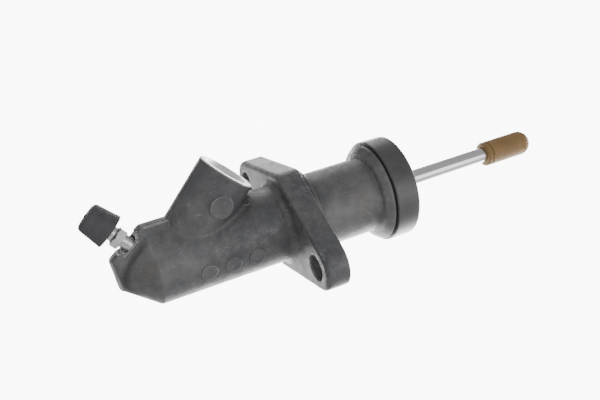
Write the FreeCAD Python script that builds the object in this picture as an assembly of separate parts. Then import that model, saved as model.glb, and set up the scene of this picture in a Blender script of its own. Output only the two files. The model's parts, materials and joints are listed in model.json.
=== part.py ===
import FreeCAD, Part
import math
import os

# Clutch slave cylinder in millimetres.
# +X runs along the bore towards the push rod, +Z points to the side of the port boss.
# The origin is on the bore axis, in the plane of the flange's mounting face.

vec = FreeCAD.Vector
origin = vec(0, 0, 0)
along_x = vec(1, 0, 0)

# Bore and barrel
bore_r = 10.32
barrel_r = 14.5
bore_floor_x = -52.6
drill_point_deg = 59.0
mouth_x = 37.0
mouth_chamfer = 1.0

# Mounting flange
flange_t = 9.0
flange_tilt_deg = 8.2
bolt_pitch = 60.0
bolt_hole_r = 4.6
bolt_hole_chamfer = 0.4
ear_r = 8.7
flange_peak = 20.8
peak_round = 5.0
flange_back_round = 1.6
flange_front_round = 0.5
flange_root_round = 2.5
register_r = 17.5
register_h = 2.4
register_edge = 0.5

# Shoulder and spigot at the open end
shoulder_r = 19.1
shoulder_x = 31.0
shoulder_run = 3.7
shoulder_knee = 0.7
shoulder_knee_r = 16.6
shoulder_round = 1.6
shoulder_crest = 1.3
shoulder_crest_r = 18.5
spigot_r = 16.8
snap_groove_x = 33.0
snap_groove_w = 1.6
snap_groove_depth = 0.6

# Closed end: a cone with a flat-topped keel in the plane of the ports
end_wall = 6.3
nose_slope_deg = 37.4
nose_tip_r = 5.1
nose_round = 1.2
keel_rise = 1.0
keel_land = 2.3
keel_half_w = 6.0
keel_inset = 3.4
keel_start_x = -44.0
keel_overrun = 1.0
keel_lean = 1.3
keel_foot_z = -5.2
keel_heel = 4.2
keel_round = 2.4

# Fluid port boss
port_deg = 47.8
port_x = -49.9
boss_r = 10.4
boss_reach = 35.8
boss_edge = 0.5
boss_root_round = 2.0
port_mouth_r = 8.0
port_thread_r = 5.46
port_thread_depth = 13.0
port_seat_deg = 60.0
passage_r = 2.0

# Bleed port: a pocket square to the keel's land, with the screw's hole splayed to the far side
land_deg = 127.7
land_x = -56.3
land_drop = 0.2
pocket_r = 5.2
pocket_depth = 1.2
bleed_deg = 131.4
bleed_splay_deg = 18.4
bleed_thread_r = 3.0
bleed_thread_depth = 7.2
bleed_hole_chamfer = 0.4
bleed_passage_r = 1.2
bleed_passage_past = 2.4

# Cast marks on the barrel: plain ejector discs and a gate pad
disc_r = 3.0
disc_h = 0.35
disc_xs = (-42.0, -33.0, -24.0)
disc_deg = -97.0
boss_disc_r = 4.2
boss_disc_reach = 25.5
gate_l = 6.4
gate_w = 2.6
gate_h = 0.7
gate_x = -22.9
gate_deg = -15.0

# Bleed screw
screw_r = 2.95
seat_gap = 0.07
screw_tip_r = 1.5
neck_r = 2.5
neck_sink = 0.8
hex_af = 7.0
hex_reach = 2.8
hex_h = 2.8
hex_chamfer_deg = 30.0
cone_low_r = 3.3
cone_h = 0.6
collar_r = 2.7
collar_h = 1.2
barb_r = 3.2
barb_tip_r = 2.3
barb_h = 5.0
nipple_neck_h = 1.2
bleed_bore_r = 1.0
cross_hole_r = 0.8
cross_hole_depth = 4.2

# Rubber bleed cap
cap_gap = 0.3
cap_l = 9.7
cap_r = 5.2
cap_mouth_r = 6.3
cap_round = 1.6
cap_edge = 0.15
cap_hole_gap = 0.15
cap_lip_r = 5.2
cap_lip_depth = 1.6
nub_r = 0.6
nub_h = 0.4

# End cap over the spigot
end_cap_x = 31.4
end_cap_l = 9.4
end_cap_side = 2.85
end_cap_wall = 2.2
end_cap_hole_r = 5.1
end_cap_round = 0.8
end_cap_back_chamfer = 0.3
spigot_fit = 0.15
snap_bead_w = 1.2
snap_bead_h = 0.5

# Rubber dust boot held between the spigot and the end cap
boot_gap = 0.05
boot_bead_w = 1.3
boot_web = 0.8
boot_neck_wall = 0.8
boot_neck_gap = 0.15
boot_neck_out = 0.6

# Stop washer and snap ring in the mouth
snap_ring_t = 1.1
snap_ring_back = 1.4
snap_seat_depth = 1.1
ring_side_gap = 0.05
snap_ring_w = 2.6
snap_ring_open_deg = 40.0
lug_r = 2.0
lug_hole_r = 0.8
washer_t = 1.0
washer_hole_r = 6.2
washer_fit = 0.12

# Piston group
piston_fit = 0.05
piston_l = 30.0
piston_chamfer = 0.6
ball_depth = 9.5
socket_fit = 0.05
socket_mouth_r = 5.6
socket_mouth_depth = 6.3
clip_x_back = 4.0
clip_t = 1.0
clip_groove_depth = 0.7
clip_fit = 0.1
clip_hole_gap = 0.5
clip_slot_w = 1.6
seal_groove_x = 12.0
seal_groove_w = 3.6
seal_groove_r = 7.4
waist_start = 17.5
waist_l = 7.0
waist_r = 9.2
stack_gap = 0.05
seal_washer_t = 0.5
seal_washer_hole_r = 2.5
cup_l = 6.0
cup_heel = 2.4
cup_lip_t = 1.5
cup_fit = 0.06
seat_stem_fit = 0.25
seat_flange_r = 7.9
seat_flange_t = 1.0
seat_boss_r = 5.0
seat_boss_h = 2.4

# Preload spring
spring_wire_r = 0.75
spring_turns = 7.5
spring_steps = 12
spring_small_r = 6.3
spring_large_r = 8.9
spring_end_gap = 0.1

# Push rod and its plastic tip
ball_r = 4.0
rod_r = 3.05
rod_end_x = 98.0
rod_chamfer = 0.4
tip_mouth_x = 84.8
tip_end_x = 107.3
tip_r = 4.95
tip_lip_r = 4.95
tip_lip_w = 1.8
tip_lip_round = 0.9
tip_groove_w = 0.5
tip_groove_depth = 0.3
tip_nose_r = 4.3
tip_fit = 0.03

# Places worked out from the sizes above
barrel_z = vec(0, 0, 1)
flange_back_x = -flange_t
nose_x = bore_floor_x - end_wall
nose_tip_x = nose_x - (barrel_r - nose_tip_r) / math.tan(math.radians(nose_slope_deg))
bore_tip_x = bore_floor_x - bore_r / math.tan(math.radians(drill_point_deg))
keel_end_x = nose_tip_x - keel_overrun
keel_heel_x = keel_end_x + keel_heel
land_reach = barrel_r - land_drop
pocket_reach = land_reach - pocket_depth
bleed_passage_depth = pocket_reach + bleed_passage_past
pocket_x = land_x + pocket_reach * math.cos(math.radians(land_deg))
pocket_z = pocket_reach * math.sin(math.radians(land_deg))
hex_top = hex_reach + hex_h
collar_low = hex_top + cone_h
collar_top = collar_low + collar_h
nipple_top = collar_top + nipple_neck_h + barb_h
snap_ring_x = mouth_x - snap_ring_back
washer_x = snap_ring_x - snap_ring_t - 2 * ring_side_gap
piston_x = washer_x - washer_t - stack_gap
piston_r = bore_r - piston_fit
piston_back_x = piston_x - piston_l
ball_x = piston_x - ball_depth
seal_washer_x = piston_back_x - stack_gap
cup_x = seal_washer_x - seal_washer_t - stack_gap
cup_r = bore_r - cup_fit
seat_x = cup_x - cup_heel - stack_gap
seat_flange_x = cup_x - cup_l - stack_gap
end_cap_r = spigot_r + spigot_fit + end_cap_side
end_cap_front_x = end_cap_x + end_cap_l
end_cap_inner_x = end_cap_front_x - end_cap_wall
boot_x = mouth_x + boot_gap


def flat_xz(a, b):
    return vec(a, 0, b)


def rounded_wire(corners, place=flat_xz):
    """A closed wire through corners (a, b, radius), each turned by an arc of its radius."""
    ends = []
    count = len(corners)
    for i, (a, b, radius) in enumerate(corners):
        here = vec(a, b, 0)
        before = vec(corners[i - 1][0], corners[i - 1][1], 0) - here
        after = vec(corners[(i + 1) % count][0], corners[(i + 1) % count][1], 0) - here
        before.normalize()
        after.normalize()
        if radius <= 0:
            ends.append((here, None, here))
            continue
        half = before.getAngle(after) / 2
        inward = (before + after).normalize()
        middle = here + inward * (radius / math.sin(half) - radius)
        step = radius / math.tan(half)
        ends.append((here + before * step, middle, here + after * step))
    edges = []
    for i, (start, middle, end) in enumerate(ends):
        last = ends[i - 1][2]
        if last.distanceToPoint(start) > 1e-6:
            edges.append(Part.makeLine(place(last.x, last.y), place(start.x, start.y)))
        if middle is not None:
            arc = Part.Arc(place(start.x, start.y), place(middle.x, middle.y), place(end.x, end.y))
            edges.append(arc.toShape())
    return Part.Wire(edges)


def turned(*corners):
    """A solid turned about X from a profile of (x, r) or (x, r, corner radius)."""
    full = [corner if len(corner) == 3 else corner + (0,) for corner in corners]
    return Part.Face(rounded_wire(full)).revolve(origin, along_x, 360)


def rod(x_low, x_high, radius):
    return Part.makeCylinder(radius, x_high - x_low, vec(x_low, 0, 0), along_x)


def leaned(shape, x, angle_deg):
    """Turns a piece made along X up to angle_deg above it, from the point x of the bore axis."""
    shape.rotate(origin, vec(0, -1, 0), angle_deg)
    shape.translate(vec(x, 0, 0))
    return shape


def splayed(shape):
    """Sets a piece made along X on the bleed screw's axis, with its x = 0 on the pocket's floor."""
    shape.rotate(origin, barrel_z, bleed_splay_deg)
    shape.rotate(origin, vec(0, -1, 0), bleed_deg)
    shape.translate(vec(pocket_x, 0, pocket_z))
    return shape


def around_x(shape, angle_deg):
    shape.rotate(origin, along_x, angle_deg)
    return shape


def flange_plate():
    """Diamond flange with two ears, rounded along its cast edges."""
    half = bolt_pitch / 2
    reach = math.hypot(half, flange_peak)
    slope = math.acos(ear_r / reach) - math.atan2(half, flange_peak)
    ear_end = half + ear_r
    corner_z = flange_peak - ear_end * math.tan(slope)
    outline = [
        (0, flange_peak, peak_round),
        (ear_end, corner_z, ear_r),
        (ear_end, -corner_z, ear_r),
        (0, -flange_peak, peak_round),
        (-ear_end, -corner_z, ear_r),
        (-ear_end, corner_z, ear_r),
    ]
    wire = rounded_wire(outline, lambda a, b: vec(flange_back_x, a, b))
    plate = Part.Face(wire).extrude(vec(flange_t, 0, 0))
    back = [e for e in plate.Edges if abs(e.BoundBox.XMax - flange_back_x) < 1e-6]
    front = [e for e in plate.Edges if abs(e.BoundBox.XMin) < 1e-6]
    plate = plate.makeFillet(flange_back_round, back)
    front = [e for e in plate.Edges if abs(e.BoundBox.XMin) < 1e-6]
    plate = plate.makeFillet(flange_front_round, front)
    return around_x(plate, flange_tilt_deg)


def keel_outline(inset, y):
    """Side view of the keel, drawn in by inset, at the given y."""
    lean_rad = math.radians(land_deg)
    top_z = barrel_r + keel_rise - inset
    land = land_reach - inset
    end_x = keel_end_x + inset
    crest_x = land_x + (land - top_z * math.sin(lean_rad)) / math.cos(lean_rad)
    chin_z = (land - (end_x - land_x) * math.cos(lean_rad)) / math.sin(lean_rad)
    corners = [
        (keel_start_x, 0, 0),
        (keel_start_x, top_z, 0),
        (crest_x, top_z, keel_round),
        (end_x, chin_z, keel_round),
        (end_x + keel_lean, keel_foot_z + inset, keel_round / 2),
        (keel_heel_x, keel_foot_z + inset - keel_lean, 0),
        (keel_heel_x, 0, 0),
    ]
    return rounded_wire(corners, lambda a, b: vec(a, y, b))


def keel():
    core = Part.Face(keel_outline(0, -keel_land)).extrude(vec(0, 2 * keel_land, 0))
    solids = [core]
    for side in (-1, 1):
        wires = [keel_outline(0, side * keel_land), keel_outline(keel_inset, side * keel_half_w)]
        solids.append(Part.makeLoft(wires, True, True))
    return solids[0].fuse(solids[1:])


def cast_outside():
    """The casting before it is bored: barrel, nose, register, shoulder and spigot in one turn."""
    snap_r = spigot_r - snap_groove_depth
    barrel = turned(
        (nose_tip_x, 0),
        (nose_tip_x, nose_tip_r, nose_round),
        (nose_x, barrel_r, nose_round),
        (flange_back_x, barrel_r, flange_root_round),
        (flange_back_x, register_r),
        (register_h, register_r, register_edge),
        (register_h, barrel_r, register_edge),
        (shoulder_x - shoulder_run, barrel_r, register_edge),
        (shoulder_x - shoulder_run + shoulder_knee, shoulder_knee_r, shoulder_round),
        (shoulder_x - shoulder_crest, shoulder_crest_r, shoulder_round),
        (shoulder_x, shoulder_r, register_edge),
        (shoulder_x, spigot_r),
        (snap_groove_x, spigot_r),
        (snap_groove_x, snap_r),
        (snap_groove_x + snap_groove_w, snap_r),
        (snap_groove_x + snap_groove_w, spigot_r),
        (mouth_x, spigot_r, mouth_chamfer),
        (mouth_x, 0),
    )
    boss = turned((0, 0), (0, boss_r), (boss_reach, boss_r, boss_edge), (boss_reach, 0))
    leaned(boss, port_x, port_deg)
    return barrel.fuse([keel(), boss]).removeSplitter()


def round_boss_root(casting):
    """Cast fillet where the port boss grows out of the barrel."""
    axis = vec(math.cos(math.radians(port_deg)), 0, math.sin(math.radians(port_deg)))
    foot = []
    for edge in casting.Edges:
        middle = edge.valueAt((edge.FirstParameter + edge.LastParameter) / 2)
        off = middle - vec(port_x, 0, 0)
        on_boss = abs((off - axis * off.dot(axis)).Length - boss_r) < 1e-3
        on_barrel = abs(math.hypot(middle.y, middle.z) - barrel_r) < 1e-3
        if on_boss and on_barrel:
            foot.append(edge)
    return casting.makeFillet(boss_root_round, foot)


def cast_marks():
    marks = []
    boss_disc = Part.makeCylinder(boss_disc_r, boss_r + disc_h, vec(boss_disc_reach, 0, 0), vec(0, -1, 0))
    marks.append(leaned(boss_disc, port_x, port_deg))
    for x in disc_xs:
        disc = Part.makeCylinder(disc_r, barrel_r + disc_h, vec(x, 0, 0), barrel_z)
        marks.append(around_x(disc, -disc_deg))
    pad = Part.makeBox(gate_l, gate_w, barrel_r + gate_h, vec(gate_x - gate_l / 2, -gate_w / 2, 0))
    upright = [e for e in pad.Edges if e.BoundBox.ZLength > barrel_r]
    pad = pad.makeFillet(gate_w / 2.1, upright)
    marks.append(around_x(pad, -gate_deg))
    return marks


def bore_cut():
    chamfer_x = mouth_x - mouth_chamfer
    groove_r = bore_r + snap_seat_depth
    groove_low = snap_ring_x - snap_ring_t - 2 * ring_side_gap
    return turned(
        (bore_tip_x, 0),
        (bore_floor_x, bore_r),
        (groove_low, bore_r),
        (groove_low, groove_r),
        (snap_ring_x, groove_r),
        (snap_ring_x, bore_r),
        (chamfer_x, bore_r),
        (mouth_x, bore_r + mouth_chamfer),
        (mouth_x + 1, bore_r + mouth_chamfer),
        (mouth_x + 1, 0),
    )


def port_cut():
    thread_end = boss_reach - port_thread_depth
    seat = (port_thread_r - passage_r) / math.tan(math.radians(port_seat_deg))
    mouth = boss_reach - (port_mouth_r - port_thread_r)
    cut = turned(
        (bore_r * 0.75, 0),
        (bore_r * 0.75, passage_r),
        (thread_end - seat, passage_r),
        (thread_end, port_thread_r),
        (mouth, port_thread_r),
        (boss_reach, port_mouth_r),
        (boss_reach + 1, port_mouth_r),
        (boss_reach + 1, 0),
    )
    return leaned(cut, port_x, port_deg)


def bleed_cuts():
    pocket = leaned(rod(pocket_reach, pocket_reach + 3 * pocket_depth, pocket_r), land_x, land_deg)
    seat = bleed_thread_r - bleed_passage_r
    chamfer = bleed_hole_chamfer
    hole = turned(
        (-bleed_passage_depth, 0),
        (-bleed_passage_depth, bleed_passage_r),
        (-bleed_thread_depth - seat, bleed_passage_r),
        (-bleed_thread_depth, bleed_thread_r),
        (-chamfer, bleed_thread_r),
        (pocket_depth, bleed_thread_r + pocket_depth + chamfer),
        (pocket_depth, 0),
    )
    return [pocket, splayed(hole)]


def bolt_hole_cuts():
    cuts = []
    for side in (-1, 1):
        over = bolt_hole_chamfer + 1
        hole = turned(
            (flange_back_x - 1, 0),
            (flange_back_x - 1, bolt_hole_r + over),
            (flange_back_x + bolt_hole_chamfer, bolt_hole_r),
            (-bolt_hole_chamfer, bolt_hole_r),
            (1, bolt_hole_r + over),
            (1, 0),
        )
        hole.translate(vec(0, side * bolt_pitch / 2, 0))
        cuts.append(around_x(hole, flange_tilt_deg))
    return cuts


def make_cylinder_body():
    casting = round_boss_root(cast_outside())
    casting = casting.fuse([flange_plate()] + cast_marks())
    casting = casting.cut([bore_cut(), port_cut()] + bleed_cuts() + bolt_hole_cuts())
    return casting.removeSplitter()


def make_end_cap():
    inner_r = spigot_r + spigot_fit
    bead_x = snap_groove_x + (snap_groove_w - snap_bead_w) / 2
    bead_r = inner_r - snap_bead_h
    return turned(
        (end_cap_x, inner_r),
        (end_cap_x, end_cap_r - end_cap_back_chamfer),
        (end_cap_x + end_cap_back_chamfer, end_cap_r),
        (end_cap_front_x, end_cap_r, end_cap_round),
        (end_cap_front_x, end_cap_hole_r),
        (end_cap_inner_x, end_cap_hole_r),
        (end_cap_inner_x, inner_r),
        (bead_x + snap_bead_w, inner_r),
        (bead_x + snap_bead_w - snap_bead_h / 2, bead_r),
        (bead_x + snap_bead_h / 2, bead_r),
        (bead_x, inner_r),
    )


def make_dust_boot():
    bead_r = spigot_r - boot_gap
    web_x = end_cap_inner_x - boot_gap
    neck_r = end_cap_hole_r - boot_neck_gap
    return turned(
        (boot_x, bead_r),
        (web_x, bead_r),
        (web_x, neck_r),
        (end_cap_front_x + boot_neck_out, neck_r, boot_neck_wall / 4),
        (end_cap_front_x + boot_neck_out, neck_r - boot_neck_wall, boot_neck_wall / 4),
        (web_x - boot_web, neck_r - boot_neck_wall, boot_neck_wall / 4),
        (web_x - boot_web, bead_r - boot_bead_w),
        (boot_x, bead_r - boot_bead_w),
    )


def make_snap_ring():
    low = snap_ring_x - snap_ring_t - ring_side_gap
    outer = bore_r + snap_seat_depth - ring_side_gap * 3
    inner = outer - snap_ring_w
    ring = rod(low, low + snap_ring_t, outer).cut(rod(low - 1, snap_ring_x + 1, inner))
    half = math.radians(snap_ring_open_deg / 2)
    far = 2 * outer
    slot = Part.Face(Part.makePolygon([
        vec(low - 1, 0, 0),
        vec(low - 1, far * math.sin(half), far * math.cos(half)),
        vec(low - 1, -far * math.sin(half), far * math.cos(half)),
        vec(low - 1, 0, 0),
    ])).extrude(vec(snap_ring_t + 2, 0, 0))
    ring = ring.cut(slot)
    lug_at = half + lug_r / outer
    for side in (-1, 1):
        middle = vec(low, side * math.sin(lug_at) * inner, math.cos(lug_at) * inner)
        lug = Part.makeCylinder(lug_r, snap_ring_t, middle, along_x)
        hole = Part.makeCylinder(lug_hole_r, snap_ring_t + 2, middle - along_x, along_x)
        ring = ring.fuse(lug).cut(hole)
    return ring.removeSplitter()


def make_stop_washer():
    outer = bore_r - washer_fit
    washer = rod(washer_x - washer_t, washer_x, outer)
    return washer.cut(rod(washer_x - washer_t - 1, washer_x + 1, washer_hole_r))


def make_piston():
    socket_r = ball_r + socket_fit
    mouth_x_in = piston_x - socket_mouth_depth
    clip_x = piston_x - clip_x_back
    groove_x = piston_x - seal_groove_x
    waist_x = piston_x - waist_start
    body = turned(
        (piston_back_x, 0),
        (piston_back_x, piston_r - piston_chamfer),
        (piston_back_x + piston_chamfer, piston_r),
        (waist_x - waist_l, piston_r),
        (waist_x - waist_l, waist_r),
        (waist_x, waist_r),
        (waist_x, piston_r),
        (groove_x - seal_groove_w, piston_r),
        (groove_x - seal_groove_w, seal_groove_r),
        (groove_x, seal_groove_r),
        (groove_x, piston_r),
        (piston_x - piston_chamfer, piston_r),
        (piston_x, piston_r - piston_chamfer),
        (piston_x, 0),
    )
    mouth = turned(
        (ball_x, 0),
        (ball_x, socket_r),
        (mouth_x_in - piston_chamfer, socket_r),
        (mouth_x_in, socket_mouth_r),
        (clip_x - clip_t - clip_fit, socket_mouth_r),
        (clip_x - clip_t - clip_fit, socket_mouth_r + clip_groove_depth),
        (clip_x, socket_mouth_r + clip_groove_depth),
        (clip_x, socket_mouth_r),
        (piston_x - piston_chamfer, socket_mouth_r),
        (piston_x, socket_mouth_r + piston_chamfer),
        (piston_x + 1, socket_mouth_r + piston_chamfer),
        (piston_x + 1, 0),
    )
    seat = Part.makeSphere(socket_r, vec(ball_x, 0, 0))
    return body.cut([mouth, seat]).removeSplitter()


def make_rod_clip():
    """Split spring washer in the piston's mouth that keeps the rod's ball in its socket."""
    high = piston_x - clip_x_back - clip_fit / 2
    outer = socket_mouth_r + clip_groove_depth - clip_fit
    clip = rod(high - clip_t, high, outer).cut(rod(high - clip_t - 1, high + 1, rod_r + clip_hole_gap))
    slot = Part.makeBox(clip_t + 2, clip_slot_w, outer + 1, vec(high - clip_t - 1, -clip_slot_w / 2, 0))
    return clip.cut(slot)


def make_secondary_seal():
    """Lip seal in the piston's front groove."""
    high = piston_x - seal_groove_x - stack_gap
    low = high - seal_groove_w + 2 * stack_gap
    inner = seal_groove_r + stack_gap
    step = (high - low) / 3
    return turned(
        (low, inner),
        (low, cup_r - stack_gap * 4),
        (low + step, cup_r),
        (high - step, cup_r - stack_gap * 6),
        (high, cup_r),
        (high, cup_r - step),
        (high - step, inner + step / 2),
        (high, inner + step / 2),
        (high, inner),
    )


def make_seal_washer():
    washer = rod(seal_washer_x - seal_washer_t, seal_washer_x, piston_r - piston_chamfer)
    low = seal_washer_x - seal_washer_t - 1
    return washer.cut(rod(low, seal_washer_x + 1, seal_washer_hole_r))


def make_primary_cup():
    """Rubber cup whose open side faces the fluid."""
    hollow_r = cup_r - cup_lip_t
    lip_x = cup_x - cup_l
    return turned(
        (cup_x, 0),
        (cup_x, cup_r - cup_lip_t / 2),
        (cup_x - cup_heel, cup_r - cup_lip_t / 4),
        (lip_x, cup_r),
        (lip_x, cup_r - cup_lip_t / 2),
        (cup_x - cup_heel, hollow_r, cup_lip_t / 2),
        (cup_x - cup_heel, 0),
    )


def make_spring_seat():
    stem_r = cup_r - cup_lip_t - cup_lip_t / 2 - seat_stem_fit
    boss_x = seat_flange_x - seat_flange_t
    return turned(
        (seat_x, 0),
        (seat_x, stem_r, seat_stem_fit),
        (seat_flange_x, stem_r),
        (seat_flange_x, seat_flange_r),
        (boss_x, seat_flange_r),
        (boss_x, seat_boss_r),
        (boss_x - seat_boss_h, seat_boss_r - seat_boss_h / 4),
        (boss_x - seat_boss_h, 0),
    )


def spring_section(share, start, length):
    """Eight-sided section of the spring's wire at this share of its length."""
    turn = share * spring_turns * 2 * math.pi
    coil_r = spring_small_r + (spring_large_r - spring_small_r) * share
    outward = vec(0, math.sin(turn), math.cos(turn))
    ahead = vec(-length / (spring_turns * 2 * math.pi), coil_r * math.cos(turn), -coil_r * math.sin(turn))
    across = outward.cross(ahead.normalize())
    middle = vec(start - length * share, 0, 0) + outward * coil_r
    points = []
    for i in range(8):
        angle = math.radians(45 * i)
        points.append(middle + (outward * math.cos(angle) + across * math.sin(angle)) * spring_wire_r)
    return Part.makePolygon(points + points[:1])


def make_preload_spring():
    """Tapered coil spring between the spring seat and the drilled floor of the bore."""
    start = seat_flange_x - seat_flange_t - spring_wire_r - spring_end_gap
    end = bore_floor_x + spring_wire_r - spring_end_gap
    count = round(spring_turns * spring_steps)
    sections = [spring_section(i / count, start, start - end) for i in range(count + 1)]
    return Part.makeLoft(sections, True, True)


def make_pushrod():
    shank = turned(
        (ball_x, 0),
        (ball_x, rod_r),
        (rod_end_x - rod_chamfer, rod_r),
        (rod_end_x, rod_r - rod_chamfer),
        (rod_end_x, 0),
    )
    ball = Part.makeSphere(ball_r, vec(ball_x, 0, 0))
    return shank.fuse(ball).removeSplitter()


def make_pushrod_tip():
    lip_end = tip_mouth_x + tip_lip_w
    groove_end = lip_end + tip_groove_w
    hole_r = rod_r + tip_fit
    hole_end = rod_end_x + tip_fit
    return turned(
        (tip_mouth_x, hole_r),
        (tip_mouth_x, tip_lip_r, tip_lip_round),
        (lip_end, tip_lip_r),
        (lip_end, tip_r - tip_groove_depth),
        (groove_end, tip_r - tip_groove_depth),
        (groove_end, tip_r),
        (tip_end_x, tip_r, tip_nose_r),
        (tip_end_x, 0),
        (hole_end, 0),
        (hole_end, hole_r),
    )


def hex_prism(low, high):
    corner_r = hex_af / math.sqrt(3)
    points = [vec(low, corner_r * math.cos(math.radians(60 * i)), corner_r * math.sin(math.radians(60 * i)))
              for i in range(6)]
    prism = Part.Face(Part.makePolygon(points + points[:1])).extrude(vec(high - low, 0, 0))
    rim_r = hex_af / 2
    run = (corner_r - rim_r) * math.tan(math.radians(hex_chamfer_deg))
    envelope = turned(
        (low, 0),
        (low, rim_r),
        (low + run, corner_r),
        (high - run, corner_r),
        (high, rim_r),
        (high, 0),
    )
    return prism.common(envelope)


def make_bleed_screw():
    cone_top = -bleed_thread_depth + seat_gap + (bleed_thread_r - screw_r)
    cone_end = cone_top - (screw_r - screw_tip_r)
    barb_x = collar_top + nipple_neck_h
    screw = turned(
        (cone_end, 0),
        (cone_end, screw_tip_r),
        (cone_top, screw_r),
        (-neck_sink - (screw_r - neck_r), screw_r),
        (-neck_sink, neck_r),
        (hex_reach + hex_h / 2, neck_r),
        (hex_reach + hex_h / 2, cone_low_r),
        (hex_top, cone_low_r),
        (collar_low, collar_r),
        (collar_top, collar_r),
        (collar_top, barb_tip_r),
        (barb_x, barb_tip_r),
        (barb_x, barb_r),
        (nipple_top, barb_tip_r),
        (nipple_top, 0),
    )
    screw = screw.fuse(hex_prism(hex_reach, hex_top))
    drill = rod(-cross_hole_depth, nipple_top + 1, bleed_bore_r)
    cross = Part.makeCylinder(cross_hole_r, 4 * screw_r, vec(-cross_hole_depth, 0, -2 * screw_r), barrel_z)
    return splayed(screw.cut([drill, cross]).removeSplitter())


def make_bleed_cap():
    mouth = collar_top + cap_gap
    end = mouth + cap_l
    hole_r = barb_r + cap_hole_gap
    hole_end = nipple_top + cap_hole_gap
    cap = turned(
        (mouth, cap_lip_r),
        (mouth, cap_mouth_r, cap_edge),
        (end, cap_r, cap_round),
        (end, nub_r),
        (end + nub_h, nub_r),
        (end + nub_h, 0),
        (hole_end, 0),
        (hole_end, hole_r),
        (mouth + cap_lip_depth, hole_r),
    )
    return splayed(cap)


pieces = {
    "cylinder_body": make_cylinder_body,
    "end_cap": make_end_cap,
    "dust_boot": make_dust_boot,
    "snap_ring": make_snap_ring,
    "stop_washer": make_stop_washer,
    "piston": make_piston,
    "rod_clip": make_rod_clip,
    "secondary_seal": make_secondary_seal,
    "seal_washer": make_seal_washer,
    "primary_cup": make_primary_cup,
    "spring_seat": make_spring_seat,
    "preload_spring": make_preload_spring,
    "pushrod": make_pushrod,
    "pushrod_tip": make_pushrod_tip,
    "bleed_screw": make_bleed_screw,
    "bleed_cap": make_bleed_cap,
}

os.makedirs("parts", exist_ok=True)
for name, make in pieces.items():
    shape = make()
    print(name, shape.isValid(), len(shape.Solids), round(shape.Volume, 1))
    shape.exportStep("parts/" + name + ".step")
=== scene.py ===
import json
import math

import bmesh
import bpy
from mathutils import Matrix, Vector


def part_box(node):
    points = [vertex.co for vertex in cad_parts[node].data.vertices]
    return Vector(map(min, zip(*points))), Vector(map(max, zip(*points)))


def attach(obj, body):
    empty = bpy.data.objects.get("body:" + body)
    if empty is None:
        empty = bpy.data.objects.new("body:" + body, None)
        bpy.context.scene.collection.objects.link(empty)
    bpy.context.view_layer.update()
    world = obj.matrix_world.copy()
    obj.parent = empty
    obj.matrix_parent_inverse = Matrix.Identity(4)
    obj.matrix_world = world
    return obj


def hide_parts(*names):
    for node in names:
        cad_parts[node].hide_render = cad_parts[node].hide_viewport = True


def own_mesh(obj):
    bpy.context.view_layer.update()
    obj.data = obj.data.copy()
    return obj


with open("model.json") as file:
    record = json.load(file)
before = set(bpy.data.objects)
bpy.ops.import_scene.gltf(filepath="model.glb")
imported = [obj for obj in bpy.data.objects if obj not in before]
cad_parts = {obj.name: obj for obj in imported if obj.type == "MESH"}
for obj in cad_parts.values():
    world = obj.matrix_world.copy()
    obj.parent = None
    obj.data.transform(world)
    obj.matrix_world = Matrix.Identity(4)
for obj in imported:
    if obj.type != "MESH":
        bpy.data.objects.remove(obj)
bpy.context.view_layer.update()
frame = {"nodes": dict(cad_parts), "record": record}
print("frame loaded")


# Small helpers for node trees

def addNode(tree, kind):
    return tree.nodes.new(kind)


def join(tree, source, target, outName=0, inName=0):
    tree.links.new(source.outputs[outName], target.inputs[inName])
    return target


def newFinish(name, colour, metallic, roughness):
    finish = bpy.data.materials.new(name)
    finish.use_nodes = True
    tree = finish.node_tree
    shader = tree.nodes["Principled BSDF"]
    shader.inputs["Base Color"].default_value = (*colour, 1)
    shader.inputs["Metallic"].default_value = metallic
    shader.inputs["Roughness"].default_value = roughness
    place = addNode(tree, "ShaderNodeTexCoord")
    return finish, tree, shader, place


def noiseAt(tree, place, scale, detail=3.0, rough=0.5, stretch=None):
    noise = addNode(tree, "ShaderNodeTexNoise")
    noise.inputs["Scale"].default_value = scale
    noise.inputs["Detail"].default_value = detail
    noise.inputs["Roughness"].default_value = rough
    if stretch:
        mapping = addNode(tree, "ShaderNodeMapping")
        mapping.inputs["Scale"].default_value = stretch
        join(tree, place, mapping, "Object", "Vector")
        join(tree, mapping, noise, 0, "Vector")
    else:
        join(tree, place, noise, "Object", "Vector")
    return noise


def rampOf(tree, source, stops):
    ramp = addNode(tree, "ShaderNodeValToRGB")
    bar = ramp.color_ramp
    while len(bar.elements) < len(stops):
        bar.elements.new(0.5)
    for element, (at, colour) in zip(bar.elements, stops):
        element.position = at
        element.color = (*colour, 1)
    join(tree, source, ramp)
    return ramp.outputs[0]


def greyRamp(tree, source, low, high, dark=0.0, light=1.0):
    return rampOf(tree, source, [(low, (dark,) * 3), (high, (light,) * 3)])


def mixColours(tree, share, first, second):
    mix = addNode(tree, "ShaderNodeMix")
    mix.data_type = "RGBA"
    tree.links.new(share, mix.inputs[0])
    for value, slot in ((first, 6), (second, 7)):
        if isinstance(value, tuple):
            mix.inputs[slot].default_value = (*value, 1)
        else:
            tree.links.new(value, mix.inputs[slot])
    return mix.outputs[2]


def calc(tree, operation, first, second=None):
    node = addNode(tree, "ShaderNodeMath")
    node.operation = operation
    for value, slot in ((first, 0), (second, 1)):
        if value is None:
            continue
        if isinstance(value, (int, float)):
            node.inputs[slot].default_value = value
        else:
            tree.links.new(value, node.inputs[slot])
    return node.outputs[0]


# Masks: one less the mask, where both hold, and where either holds
def less(tree, mask):
    return calc(tree, "SUBTRACT", 1.0, mask)


def both(tree, first, second):
    return calc(tree, "MULTIPLY", first, second)


def either(tree, first, second):
    return calc(tree, "MAXIMUM", first, second)


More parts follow.
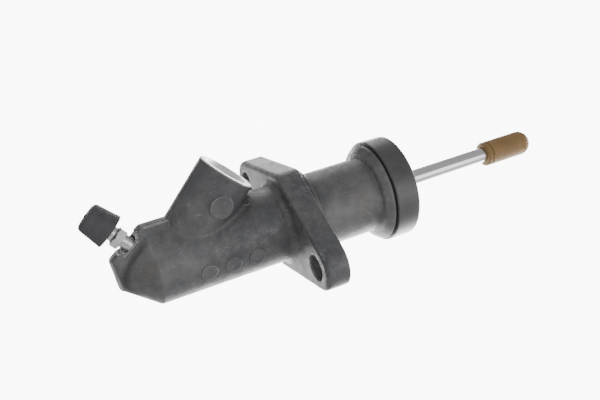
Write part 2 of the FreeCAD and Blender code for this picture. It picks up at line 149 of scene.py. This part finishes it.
def vectorCalc(tree, operation, first, second=None):
    node = addNode(tree, "ShaderNodeVectorMath")
    node.operation = operation
    for value, slot in ((first, 0), (second, 1)):
        if value is None:
            continue
        if isinstance(value, tuple):
            node.inputs[slot].default_value = value
        else:
            tree.links.new(value, node.inputs[slot])
    return node


# Distance along an axis from a point, and distance off that axis, over the surface
def alongAndOff(tree, place, point, axis):
    offset = vectorCalc(tree, "SUBTRACT", place.outputs["Object"], tuple(point)).outputs[0]
    along = vectorCalc(tree, "DOT_PRODUCT", offset, tuple(axis)).outputs["Value"]
    across = vectorCalc(tree, "CROSS_PRODUCT", offset, tuple(axis)).outputs[0]
    return along, vectorCalc(tree, "LENGTH", across).outputs["Value"]


# 0 below edge and 1 above it, over the given width
def step(tree, value, edge, width):
    node = addNode(tree, "ShaderNodeMapRange")
    node.inputs["From Min"].default_value = edge - width / 2
    node.inputs["From Max"].default_value = edge + width / 2
    tree.links.new(value, node.inputs["Value"])
    return node.outputs["Result"]


def bumpFrom(tree, shader, height, strength, distance):
    bump = addNode(tree, "ShaderNodeBump")
    bump.inputs["Strength"].default_value = strength
    bump.inputs["Distance"].default_value = distance
    tree.links.new(height, bump.inputs["Height"])
    join(tree, bump, shader, 0, "Normal")
    return bump


# Places of the ports, in metres

casting = {
    "portFoot": Vector((-0.0499, 0, 0)),
    "portAxis": Vector((math.cos(math.radians(47.8)), 0, math.sin(math.radians(47.8)))),
    "portReach": 0.0358,
    "portMouth": 0.0080,
    "bossRadius": 0.0106,
    "landFoot": Vector((-0.0563, 0, 0)),
    "landAxis": Vector((math.cos(math.radians(127.7)), 0, math.sin(math.radians(127.7)))),
    "landReach": 0.0143,
    "pocketFloor": 0.0131,
    "pocketRadius": 0.0052,
    "mouthFrom": 0.0165,
    "boreWall": 0.0114,
    "boreFloor": -0.0590,
}


castFinish = {
    "dark": (0.052, 0.054, 0.060),
    "middle": (0.088, 0.088, 0.091),
    "light": (0.150, 0.150, 0.150),
    "brown": (0.125, 0.104, 0.086),
    "blue": (0.066, 0.072, 0.085),
    "speck": (0.34, 0.34, 0.34),
    # painted shade, laid in the corners and along the keel's valleys
    "paintedShade": (0.022, 0.023, 0.026),
    "rubbed": (0.30, 0.30, 0.30),
    # painted highlight for the keel's far strip and end rim
    "paintedHighlight": (0.42, 0.42, 0.41),
    # painted light for the inside of the port
    "mouth": (0.60, 0.60, 0.59),
    "turnedDark": (0.30, 0.30, 0.30),
    "turnedLight": (0.45, 0.45, 0.45),
    "turnedRoughness": 0.42,
    "ringScale": 9000,
    "metal": 0.10,
    "machinedMetal": 0.6,
    "edgeRound": 0.0008,
    "keelRound": 0.0018,
    "keelRim": 0.0013,
    "keelLean": 0.137,
    "stripFrom": 0.0003,
    "bossShade": 0.45,
    "paintedShadeReach": 0.0045,
    "valleyAt": 0.0064,
    "valleyWidth": 0.0016,
    "valleyStart": -0.0605,
    "skinBump": 0.00035,
}


# Colours of the raw skin: stains, mottling, a warm and a cold cast, grains and scuffs
def skinColours(tree, place, broad, mottle):
    stains = rampOf(tree, broad, [(0.34, castFinish["dark"]), (0.52, castFinish["middle"]),
                                  (0.72, castFinish["light"])])
    colour = mixColours(tree, greyRamp(tree, mottle, 0.42, 0.72, 0.0, 0.6), stains, castFinish["light"])
    warm = noiseAt(tree, place, 70, 5, 0.6)
    colour = mixColours(tree, greyRamp(tree, warm, 0.54, 0.74, 0.0, 0.6), colour, castFinish["brown"])
    cold = noiseAt(tree, place, 88, 4, 0.55, (1, 1.3, 1))
    colour = mixColours(tree, greyRamp(tree, cold, 0.52, 0.70, 0.0, 0.5), colour, castFinish["blue"])
    grains = addNode(tree, "ShaderNodeTexVoronoi")
    grains.inputs["Scale"].default_value = 900
    join(tree, place, grains, "Object", "Vector")
    patch = noiseAt(tree, place, 130, 3, 0.5)
    specks = both(tree, greyRamp(tree, grains, 0.08, 0.20, 1.0, 0.0), greyRamp(tree, patch, 0.57, 0.66))
    colour = mixColours(tree, specks, colour, castFinish["speck"])
    scratch = noiseAt(tree, place, 130, 2, 0.4, (0.22, 2.2, 5.0))
    scuffs = both(tree, greyRamp(tree, scratch, 0.67, 0.72), greyRamp(tree, mottle, 0.50, 0.60))
    return mixColours(tree, both(tree, scuffs, 0.4), colour, castFinish["speck"])


# Masks of the keel's land and of the rim of its leaning end
def keelPlaces(tree, place, spot):
    landAlong = alongAndOff(tree, place, casting["landFoot"], casting["landAxis"])[0]
    behind = step(tree, spot.outputs["X"], castFinish["valleyStart"], 0.0010)
    onLand = both(tree, step(tree, landAlong, casting["landReach"] - 0.0006, 0.0002), less(tree, behind))
    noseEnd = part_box("cylinder_body")[0].x
    leaned = calc(tree, "ADD", spot.outputs["X"], both(tree, spot.outputs["Z"], castFinish["keelLean"]))
    onRim = less(tree, step(tree, leaned, noseEnd + castFinish["keelRim"], 0.0005))
    return onLand, onRim


# Normals rounded over the edges, and more widely on the keel
def roundedEdges(tree, onKeel):
    soften = addNode(tree, "ShaderNodeBevel")
    soften.samples = 6
    wide = addNode(tree, "ShaderNodeMapRange")
    wide.inputs["To Min"].default_value = castFinish["edgeRound"]
    wide.inputs["To Max"].default_value = castFinish["keelRound"]
    tree.links.new(onKeel, wide.inputs["Value"])
    tree.links.new(wide.outputs["Result"], soften.inputs["Radius"])
    return soften


# Rubbed edges, and a painted highlight on the strip and rim of the keel
def wornEdgesAndPaintedHighlight(tree, colour, broad, spot, soften, onLand, onRim):
    skinWay = addNode(tree, "ShaderNodeNewGeometry").outputs["Normal"]
    turned = vectorCalc(tree, "DOT_PRODUCT", soften.outputs[0], skinWay).outputs["Value"]
    onEdge = less(tree, step(tree, turned, 0.94, 0.10))
    rubbed = both(tree, onEdge, greyRamp(tree, broad, 0.36, 0.60, 0.30, 0.95))
    colour = mixColours(tree, rubbed, colour, castFinish["rubbed"])
    # painted highlight on the far strip of the keel's land and on the rim of its leaning end
    strip = both(tree, onLand, step(tree, spot.outputs["Y"], castFinish["stripFrom"], 0.0005))
    return mixColours(tree, both(tree, either(tree, strip, onRim), 0.85), colour, castFinish["paintedHighlight"])


# Painted shade in the corners, from ambient occlusion, and along the keel's valleys; and the darker side of
# the boss
def paintedShadeAndBossTone(tree, place, colour, spot):
    # painted shade: ambient occlusion darkens the corners
    nook = addNode(tree, "ShaderNodeAmbientOcclusion")
    nook.samples = 6
    nook.inputs["Distance"].default_value = castFinish["paintedShadeReach"]
    colour = mixColours(tree, greyRamp(tree, nook, 0.45, 0.92, 0.85, 0.0), colour, castFinish["paintedShade"])
    bossAlong, bossOff = alongAndOff(tree, place, casting["portFoot"], casting["portAxis"])
    onBoss = both(tree, step(tree, bossAlong, 0.020, 0.010), less(tree, step(tree, bossOff, 0.0112, 0.0010)))
    colour = mixColours(tree, both(tree, onBoss, castFinish["bossShade"]), colour, castFinish["dark"])
    # painted shade along the valleys between the keel and the cone
    aside = calc(tree, "ABSOLUTE", spot.outputs["Y"])
    offKeel = calc(tree, "ABSOLUTE", calc(tree, "SUBTRACT", aside, castFinish["valleyAt"]))
    valley = less(tree, step(tree, offKeel, castFinish["valleyWidth"] / 2, castFinish["valleyWidth"]))
    behind = step(tree, spot.outputs["X"], castFinish["valleyStart"], 0.004)
    valley = both(tree, valley, less(tree, behind))
    return mixColours(tree, both(tree, valley, 0.75), colour, castFinish["paintedShade"])


# Masks of the machined places (port face, pocket, mounting face, bore) and of the port's
# mouth, with the fine rings that turning leaves
def machinedPlaces(tree, place):
    portAlong, portOff = alongAndOff(tree, place, casting["portFoot"], casting["portAxis"])
    face = both(tree, step(tree, portAlong, casting["portReach"] - 0.00035, 0.0001),
                less(tree, step(tree, portOff, casting["bossRadius"], 0.0001)))
    # the port's mouth takes a painted light on its inner walls
    mouth = both(tree, step(tree, portAlong, casting["mouthFrom"], 0.001),
                 less(tree, step(tree, portOff, casting["portMouth"] + 0.0001, 0.0002)))
    landAlong, landOff = alongAndOff(tree, place, casting["landFoot"], casting["landAxis"])
    pocket = both(tree, step(tree, landAlong, casting["pocketFloor"] - 0.0002, 0.0001),
                  less(tree, step(tree, landOff, casting["pocketRadius"] + 0.0001, 0.0001)))
    boreAlong, boreOff = alongAndOff(tree, place, (0, 0, 0), (1, 0, 0))
    seat = both(tree, step(tree, boreAlong, -0.0001, 0.0001),
                less(tree, step(tree, boreAlong, 0.0002, 0.0001)))
    bore = both(tree, less(tree, step(tree, boreOff, casting["boreWall"], 0.0002)),
                step(tree, boreAlong, casting["boreFloor"], 0.0004))
    machined = either(tree, either(tree, face, pocket), either(tree, seat, bore))
    rings = addNode(tree, "ShaderNodeCombineXYZ")
    for slot, value in enumerate((portOff, boreOff, boreAlong)):
        tree.links.new(both(tree, value, castFinish["ringScale"]), rings.inputs[slot])
    turning = addNode(tree, "ShaderNodeTexNoise")
    turning.inputs["Scale"].default_value = 1.0
    turning.inputs["Detail"].default_value = 2
    join(tree, rings, turning, 0, "Vector")
    return machined, mouth, turning


def castAluminium():
    finish, tree, shader, place = newFinish(
        "cast aluminium, dull", castFinish["middle"], castFinish["metal"], 0.5)
    broad = noiseAt(tree, place, 42, 6, 0.62)
    mottle = noiseAt(tree, place, 300, 7, 0.7)
    spot = addNode(tree, "ShaderNodeSeparateXYZ")
    join(tree, place, spot, "Object", "Vector")
    onLand, onRim = keelPlaces(tree, place, spot)
    soften = roundedEdges(tree, either(tree, onLand, onRim))
    colour = skinColours(tree, place, broad, mottle)
    colour = wornEdgesAndPaintedHighlight(tree, colour, broad, spot, soften, onLand, onRim)
    # painted shade in corners and valleys, and the boss's darker tone
    colour = paintedShadeAndBossTone(tree, place, colour, spot)
    machined, mouth, turning = machinedPlaces(tree, place)
    bright = rampOf(tree, turning, [(0.35, castFinish["turnedDark"]), (0.65, castFinish["turnedLight"])])
    colour = mixColours(tree, machined, colour, bright)
    # the port's mouth is painted light grey, standing in for light falling inside it
    tree.links.new(mixColours(tree, mouth, colour, castFinish["mouth"]), shader.inputs["Base Color"])
    metal = calc(tree, "ADD", both(tree, machined, castFinish["machinedMetal"]), castFinish["metal"])
    tree.links.new(metal, shader.inputs["Metallic"])
    gloss = greyRamp(tree, mottle, 0.30, 0.75, 0.58, 0.38)
    fine = mixColours(tree, machined, gloss, (castFinish["turnedRoughness"],) * 3)
    tree.links.new(fine, shader.inputs["Roughness"])
    grain = noiseAt(tree, place, 1700, 3, 0.6)
    waves = noiseAt(tree, place, 330, 3, 0.5)
    height = calc(tree, "ADD", both(tree, grain.outputs[0], 0.5), waves.outputs[0])
    rough = both(tree, height, less(tree, either(tree, machined, mouth)))
    bump = bumpFrom(tree, shader, rough, 0.40, castFinish["skinBump"])
    join(tree, soften, bump, 0, "Normal")
    return finish


def blackPlastic():
    finish, tree, shader, place = newFinish("black moulded plastic", (0.060, 0.058, 0.057), 0.0, 0.36)
    cloud = noiseAt(tree, place, 60, 4, 0.6)
    shade = rampOf(tree, cloud, [(0.35, (0.050, 0.049, 0.049)), (0.70, (0.078, 0.075, 0.073))])
    tree.links.new(shade, shader.inputs["Base Color"])
    rubbed = noiseAt(tree, place, 420, 4, 0.6, (1.0, 3.0, 3.0))
    tree.links.new(greyRamp(tree, rubbed, 0.3, 0.7, 0.30, 0.46), shader.inputs["Roughness"])
    bumpFrom(tree, shader, noiseAt(tree, place, 900, 3, 0.5).outputs[0], 0.08, 0.0002)
    return finish


# Rubber and plain plastics: clouded colour and a fine moulded skin
def moulded(name, dark, light, roughness, grain, shine=0.5):
    finish, tree, shader, place = newFinish(name, light, 0.0, roughness)
    shader.inputs["Specular IOR Level"].default_value = shine
    cloud = noiseAt(tree, place, 150, 4, 0.6)
    tree.links.new(rampOf(tree, cloud, [(0.32, dark), (0.68, light)]), shader.inputs["Base Color"])
    speckle = noiseAt(tree, place, grain, 3, 0.6)
    tree.links.new(greyRamp(tree, speckle, 0.3, 0.7, roughness - 0.08, roughness + 0.10),
                   shader.inputs["Roughness"])
    bumpFrom(tree, shader, speckle.outputs[0], 0.15, 0.0002)
    return finish


# Plated and turned metals: streaks drawn out along the stretch's smallest axis
def brightMetal(name, dark, light, roughness, stretch):
    finish, tree, shader, place = newFinish(name, light, 1.0, roughness)
    streaks = noiseAt(tree, place, 500, 4, 0.6, stretch)
    tree.links.new(rampOf(tree, streaks, [(0.3, dark), (0.7, light)]), shader.inputs["Base Color"])
    tree.links.new(greyRamp(tree, streaks, 0.3, 0.7, roughness + 0.08, roughness - 0.05),
                   shader.inputs["Roughness"])
    bumpFrom(tree, shader, streaks.outputs[0], 0.06, 0.0001)
    return finish


finishes = {
    "cast_aluminium": castAluminium(),
    "black_plastic": blackPlastic(),
    "boot_rubber": moulded("boot rubber", (0.018, 0.018, 0.018), (0.032, 0.032, 0.032), 0.62, 1200),
    "spring_steel": brightMetal("spring steel", (0.24, 0.24, 0.25), (0.38, 0.38, 0.40), 0.32, (1, 1, 0.2)),
    "washer_steel": brightMetal("washer steel", (0.42, 0.42, 0.42), (0.58, 0.58, 0.58), 0.30, (1, 0.4, 1)),
    "piston_aluminium": brightMetal(
        "turned aluminium", (0.56, 0.57, 0.58), (0.72, 0.73, 0.74), 0.26, (6, 0.3, 0.3)),
    "seal_rubber": moulded("seal rubber", (0.010, 0.010, 0.010), (0.020, 0.020, 0.020), 0.42, 1500),
    "seat_plastic": moulded("seat plastic", (0.58, 0.57, 0.50), (0.66, 0.65, 0.58), 0.45, 1100),
    "plated_steel": brightMetal(
        "bright plated steel", (0.62, 0.63, 0.63), (0.74, 0.75, 0.75), 0.20, (0.2, 2, 2)),
    "tan_plastic": moulded("tan plastic", (0.205, 0.127, 0.054), (0.250, 0.157, 0.070), 0.62, 900, 0.2),
    "zinc_steel": brightMetal("zinc plated steel", (0.60, 0.60, 0.60), (0.78, 0.78, 0.77), 0.32, (1, 1, 1)),
    "cap_rubber": moulded("cap rubber", (0.044, 0.044, 0.048), (0.066, 0.066, 0.071), 0.70, 1300),
}

slotOf = {entry["node"]: entry["material_slot"] for entry in frame["record"]["subparts"]}
for name, node in frame["nodes"].items():
    node.data.materials.clear()
    node.data.materials.append(finishes[slotOf[name]])
print("finishes made")


# Geometry node trees

# Wire radii from turn to turn where a coil is close-wound
closePitch = 2.05


# A coil along Z with a round or pointed wire, close-wound at both ends by endShare
def coilTree(name, finish):
    tree = bpy.data.node_groups.new(name, "GeometryNodeTree")
    face = tree.interface
    face.new_socket("Geometry", in_out="INPUT", socket_type="NodeSocketGeometry")
    for label, start in (("Start Radius", 0.006), ("End Radius", 0.009), ("Height", 0.04), ("Turns", 8.0),
                         ("Wire Radius", 0.0007), ("Wire Width", 0.0007), ("End Share", 0.1)):
        face.new_socket(label, in_out="INPUT", socket_type="NodeSocketFloat").default_value = start
    for label, start in (("Steps", 32), ("Sides", 12)):
        face.new_socket(label, in_out="INPUT", socket_type="NodeSocketInt").default_value = start
    face.new_socket("Geometry", in_out="OUTPUT", socket_type="NodeSocketGeometry")
    given = addNode(tree, "NodeGroupInput")
    result = addNode(tree, "NodeGroupOutput")
    spiral = addNode(tree, "GeometryNodeCurveSpiral")
    for label in ("Start Radius", "End Radius"):
        join(tree, given, spiral, label, label)
    join(tree, given, spiral, "Turns", "Rotations")
    join(tree, given, spiral, "Steps", "Resolution")
    spiral.inputs["Height"].default_value = 0
    share = addNode(tree, "GeometryNodeSplineParameter").outputs["Factor"]
    close = both(tree, given.outputs["Turns"], both(tree, given.outputs["Wire Radius"], closePitch))
    close = calc(tree, "MINIMUM", close, given.outputs["Height"])
    opened = addNode(tree, "ShaderNodeMapRange")
    tree.links.new(share, opened.inputs["Value"])
    tree.links.new(given.outputs["End Share"], opened.inputs["From Min"])
    tree.links.new(calc(tree, "SUBTRACT", 1.0, given.outputs["End Share"]), opened.inputs["From Max"])
    spare = calc(tree, "SUBTRACT", given.outputs["Height"], close)
    rise = calc(tree, "ADD", both(tree, share, close), both(tree, opened.outputs["Result"], spare))
    lift = addNode(tree, "ShaderNodeCombineXYZ")
    tree.links.new(rise, lift.inputs["Z"])
    moved = addNode(tree, "GeometryNodeSetPosition")
    join(tree, spiral, moved, 0, "Geometry")
    join(tree, lift, moved, 0, "Offset")
    tilt = addNode(tree, "GeometryNodeSetCurveNormal")
    tilt.mode = "Z_UP"
    join(tree, moved, tilt, 0, "Curve")
    wire = addNode(tree, "GeometryNodeCurvePrimitiveCircle")
    wire.mode = "RADIUS"
    join(tree, given, wire, "Sides", "Resolution")
    join(tree, given, wire, "Wire Radius", "Radius")
    thin = addNode(tree, "GeometryNodeTransform")
    squeeze = addNode(tree, "ShaderNodeCombineXYZ")
    squeeze.inputs["Z"].default_value = 1
    squeeze.inputs["X"].default_value = 1
    flatness = calc(tree, "DIVIDE", given.outputs["Wire Width"], given.outputs["Wire Radius"])
    tree.links.new(flatness, squeeze.inputs["Y"])
    join(tree, wire, thin, 0, "Geometry")
    join(tree, squeeze, thin, 0, "Scale")
    sweep = addNode(tree, "GeometryNodeCurveToMesh")
    sweep.inputs["Fill Caps"].default_value = True
    join(tree, tilt, sweep, 0, "Curve")
    join(tree, thin, sweep, 0, "Profile Curve")
    smooth = addNode(tree, "GeometryNodeSetShadeSmooth")
    join(tree, sweep, smooth, 0, "Geometry")
    real = addNode(tree, "GeometryNodeRealizeInstances")
    join(tree, smooth, real, 0, "Geometry")
    paint = addNode(tree, "GeometryNodeSetMaterial")
    paint.inputs["Material"].default_value = finish
    join(tree, real, paint, 0, "Geometry")
    join(tree, paint, result, 0, 0)
    return tree


# Runs a geometry node tree on a base mesh and returns the result as a plain mesh object
def fromTree(name, tree, base, sizes, place=None):
    holder = bpy.data.objects.new(name + "Base", base)
    bpy.context.scene.collection.objects.link(holder)
    modifier = holder.modifiers.new("build", "NODES")
    modifier.node_group = tree
    sockets = {item.name: item.identifier for item in tree.interface.items_tree if item.in_out == "INPUT"}
    for label, value in sizes.items():
        modifier[sockets[label]] = value
    graph = bpy.context.evaluated_depsgraph_get()
    mesh = bpy.data.meshes.new_from_object(holder.evaluated_get(graph), depsgraph=graph)
    bpy.data.objects.remove(holder)
    if place is not None:
        mesh.transform(place)
    mesh.name = name
    piece = bpy.data.objects.new(name, mesh)
    bpy.context.scene.collection.objects.link(piece)
    return piece


# Matrix that stands a piece made along Z on a point, along an axis
def axisPlace(point, axis):
    return Matrix.Translation(point) @ axis.to_track_quat("Z", "Y").to_matrix().to_4x4()


def fixNormals(piece):
    work = bmesh.new()
    work.from_mesh(piece.data)
    bmesh.ops.remove_doubles(work, verts=work.verts, dist=1e-7)
    bmesh.ops.recalc_face_normals(work, faces=work.faces)
    work.to_mesh(piece.data)
    work.free()


# Preload spring, with its ends wound close

spring = {
    "wireRadius": 0.00075,
    "smallRadius": 0.0063,
    "largeRadius": 0.0089,
    "turns": 9.0,
    "steps": 36,
    "sides": 14,
    "endShare": 0.11,
    "stroke": 0.018,
}


def makeSpring():
    low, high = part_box("preload_spring")
    wire = spring["wireRadius"]
    place = axisPlace(Vector((high.x - wire, 0, 0)), Vector((-1, 0, 0)))
    tree = coilTree("coil of wire", finishes["spring_steel"])
    piece = fromTree("springWire", tree, bpy.data.meshes.new("blank"), {
        "Start Radius": spring["smallRadius"], "End Radius": spring["largeRadius"],
        "Height": high.x - low.x - 2 * wire,
        "Turns": spring["turns"], "Wire Radius": wire, "Wire Width": wire, "End Share": spring["endShare"],
        "Steps": spring["steps"], "Sides": spring["sides"]}, place)
    fixNormals(piece)
    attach(piece, "housing")
    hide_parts("preload_spring")
    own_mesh(piece)
    print("spring wound")


makeSpring()


# Screw thread in the port

portThread = {
    "radius": 0.0060,
    "pitch": 0.0010,
    "depth": 0.00054,
    "width": 0.0005,
    "from": 0.0233,
    "to": 0.0334,
    "steps": 40,
    "sides": 4,
}


def makePortThread():
    turns = (portThread["to"] - portThread["from"]) / portThread["pitch"]
    start = casting["portFoot"] + casting["portAxis"] * portThread["from"]
    tree = coilTree("port thread", finishes["cast_aluminium"])
    piece = fromTree("portThread", tree, bpy.data.meshes.new("blank"), {
        "Start Radius": portThread["radius"], "End Radius": portThread["radius"],
        "Height": portThread["to"] - portThread["from"], "Turns": turns, "Wire Radius": portThread["depth"],
        "Wire Width": portThread["width"], "End Share": 0.0, "Steps": portThread["steps"],
        "Sides": portThread["sides"]},
        axisPlace(start, casting["portAxis"]))
    fixNormals(piece)
    for face in piece.data.polygons:
        face.use_smooth = False
    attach(piece, "housing")
    print("port threaded")


makePortThread()


# Parting line left by the die, where the casting is cut by its middle plane

ridge = {
    "height": 0.00011,
    "step": 0.0006,
    "sides": 6,
    "cutAt": 0.00002,
    "underside": -0.005,
    "undersideFrom": -0.058,
    "boreWall": 0.0120,
    "flangeBack": -0.0300,
    "flangeFront": 0.0030,
    "shoulder": 0.0262,
    "mouthWall": 0.0102,
    "faceEdge": 0.0006,
    "pocketEdge": 0.0002,
    "noseRadius": 0.0060,
    "noseFront": -0.0705,
}


def ridgeTree(finish):
    tree = bpy.data.node_groups.new("parting ridge", "GeometryNodeTree")
    face = tree.interface
    face.new_socket("Geometry", in_out="INPUT", socket_type="NodeSocketGeometry")
    face.new_socket("Height", in_out="INPUT", socket_type="NodeSocketFloat").default_value = ridge["height"]
    face.new_socket("Step", in_out="INPUT", socket_type="NodeSocketFloat").default_value = ridge["step"]
    face.new_socket("Geometry", in_out="OUTPUT", socket_type="NodeSocketGeometry")
    given = addNode(tree, "NodeGroupInput")
    result = addNode(tree, "NodeGroupOutput")
    curve = addNode(tree, "GeometryNodeMeshToCurve")
    join(tree, given, curve, "Geometry", 0)
    even = addNode(tree, "GeometryNodeResampleCurve")
    even.mode = "LENGTH"
    join(tree, curve, even, 0, "Curve")
    join(tree, given, even, "Step", "Length")
    wire = addNode(tree, "GeometryNodeCurvePrimitiveCircle")
    wire.inputs["Resolution"].default_value = ridge["sides"]
    join(tree, given, wire, "Height", "Radius")
    sweep = addNode(tree, "GeometryNodeCurveToMesh")
    sweep.inputs["Fill Caps"].default_value = True
    join(tree, even, sweep, 0, "Curve")
    join(tree, wire, sweep, 0, "Profile Curve")
    smooth = addNode(tree, "GeometryNodeSetShadeSmooth")
    join(tree, sweep, smooth, 0, "Geometry")
    real = addNode(tree, "GeometryNodeRealizeInstances")
    join(tree, smooth, real, 0, "Geometry")
    paint = addNode(tree, "GeometryNodeSetMaterial")
    paint.inputs["Material"].default_value = finish
    join(tree, real, paint, 0, "Geometry")
    join(tree, paint, result, 0, 0)
    return tree


# A point's distance along an axis and its distance off it
def fromAxis(point, foot, axis):
    along = (point - foot).dot(axis)
    return along, (point - foot - axis * along).length


# True where the middle plane meets the outside of the casting, away from machined places
def onCastSkin(point):
    if point.z < ridge["underside"] and point.x > ridge["undersideFrom"]:
        return False
    off = math.hypot(point.y, point.z)
    if off < ridge["boreWall"] and point.x > casting["boreFloor"]:
        return False
    if ridge["flangeBack"] < point.x < ridge["flangeFront"] or point.x > ridge["shoulder"]:
        return False
    along, across = fromAxis(point, casting["portFoot"], casting["portAxis"])
    if along > casting["mouthFrom"] and across < ridge["mouthWall"]:
        return False
    if along > casting["portReach"] - ridge["faceEdge"]:
        return False
    along, across = fromAxis(point, casting["landFoot"], casting["landAxis"])
    if across < casting["pocketRadius"] + ridge["pocketEdge"] and along > 0.0:
        return False
    return off > ridge["noseRadius"] or point.x < ridge["noseFront"]


def makePartingRidge():
    work = bmesh.new()
    work.from_mesh(frame["nodes"]["cylinder_body"].data)
    bmesh.ops.remove_doubles(work, verts=work.verts, dist=1e-6)
    cut = bmesh.ops.bisect_plane(work, geom=work.verts[:] + work.edges[:] + work.faces[:],
                                 plane_co=(0, ridge["cutAt"], 0), plane_no=(0, 1, 0))
    edges = [item for item in cut["geom_cut"] if isinstance(item, bmesh.types.BMEdge)]
    points, pairs, index = [], [], {}
    for edge in edges:
        ends = [vert.co.copy() for vert in edge.verts]
        if not onCastSkin((ends[0] + ends[1]) / 2):
            continue
        pair = []
        for vert, end in zip(edge.verts, ends):
            if vert not in index:
                index[vert] = len(points)
                points.append(end)
            pair.append(index[vert])
        pairs.append(pair)
    work.free()
    base = bpy.data.meshes.new("partingPath")
    base.from_pydata(points, pairs, [])
    piece = fromTree("partingRidge", ridgeTree(finishes["cast_aluminium"]), base, {"Height": ridge["height"]})
    fixNormals(piece)
    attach(piece, "housing")
    print("parting ridge laid,", len(pairs), "lengths")


makePartingRidge()


# Studio: pale floor, soft lights, and the camera where the photograph was taken

studio = {
    "floor": -0.16,
    "floorSize": 8.0,
    "world": 0.50,
    "tableGlow": 15.0,
    "whiteShare": 0.6,
    "tableWay": (0.3915, 0.9202, 0.0),
    "tableStart": 0.05,
    "tableSoft": 0.12,
    "tableLeft": -0.065,
    "lights": [
        {"name": "keyLight", "at": (-0.45, -0.30, 0.60), "aim": (0, 0, 0), "size": 0.4, "power": 1.3},
        {"name": "frontLight", "at": (0.30, -0.75, 0.10), "aim": (0, 0, 0), "size": 0.6, "power": 2.6},
        {"name": "rimLight", "at": (0.20, 0.60, 0.35), "aim": (0, 0, 0), "size": 0.3, "power": 1.6},
    ],
}


def makeStudio():
    bpy.ops.mesh.primitive_plane_add(size=studio["floorSize"], location=(0, 0, studio["floor"]))
    floor = bpy.context.object
    floor.name = "paleFloor"
    finish, tree, shader, place = newFinish("pale floor", (0.9, 0.9, 0.9), 0.0, 0.8)
    haze = noiseAt(tree, place, 2, 2, 0.5)
    tree.links.new(greyRamp(tree, haze, 0.3, 0.7, 0.90, 0.93), shader.inputs["Base Color"])
    along = vectorCalc(tree, "DOT_PRODUCT", place.outputs["Object"], studio["tableWay"]).outputs["Value"]
    lit = step(tree, along, studio["tableStart"], studio["tableSoft"])
    aside = vectorCalc(tree, "DOT_PRODUCT", place.outputs["Object"], (1, 0, 0)).outputs["Value"]
    lit = both(tree, lit, step(tree, aside, studio["tableLeft"], studio["tableSoft"]))
    seen = addNode(tree, "ShaderNodeLightPath").outputs["Is Camera Ray"]
    lit = either(tree, both(tree, lit, less(tree, seen)), both(tree, seen, studio["whiteShare"]))
    shader.inputs["Emission Color"].default_value = (1, 1, 1, 1)
    tree.links.new(both(tree, lit, studio["tableGlow"]), shader.inputs["Emission Strength"])
    floor.data.materials.append(finish)
    world = bpy.data.worlds.new("studio")
    bpy.context.scene.world = world
    world.use_nodes = True
    world.node_tree.nodes["Background"].inputs["Color"].default_value = (1, 1, 1, 1)
    tree = world.node_tree
    seen = addNode(tree, "ShaderNodeLightPath").outputs["Is Camera Ray"]
    glow = either(tree, both(tree, seen, studio["tableGlow"] * studio["whiteShare"]), studio["world"])
    tree.links.new(glow, tree.nodes["Background"].inputs["Strength"])
    for light in studio["lights"]:
        lamp = bpy.data.lights.new(light["name"], "AREA")
        lamp.size = light["size"]
        lamp.energy = light["power"]
        holder = bpy.data.objects.new(light["name"], lamp)
        bpy.context.scene.collection.objects.link(holder)
        holder.location = light["at"]
        look = Vector(light["aim"]) - Vector(light["at"])
        holder.rotation_euler = look.to_track_quat("-Z", "Y").to_euler()


view = {
    "lens": 45.83,
    "at": (-0.09798, -0.23180, 0.13977),
    "right": (0.89288, -0.43859, -0.10203),
    "up": (0.28835, 0.38285, 0.87766),
    "back": (-0.34587, -0.81307, 0.46830),
}


def makeCamera():
    lens = bpy.data.cameras.new("camera")
    lens.sensor_width = 36
    lens.lens = view["lens"]
    lens.clip_start = 0.01
    camera = bpy.data.objects.new("camera", lens)
    bpy.context.scene.collection.objects.link(camera)
    turn = Matrix((view["right"], view["up"], view["back"])).transposed().to_4x4()
    camera.matrix_world = Matrix.Translation(view["at"]) @ turn
    bpy.context.scene.camera = camera


makeStudio()
makeCamera()
print("studio set")
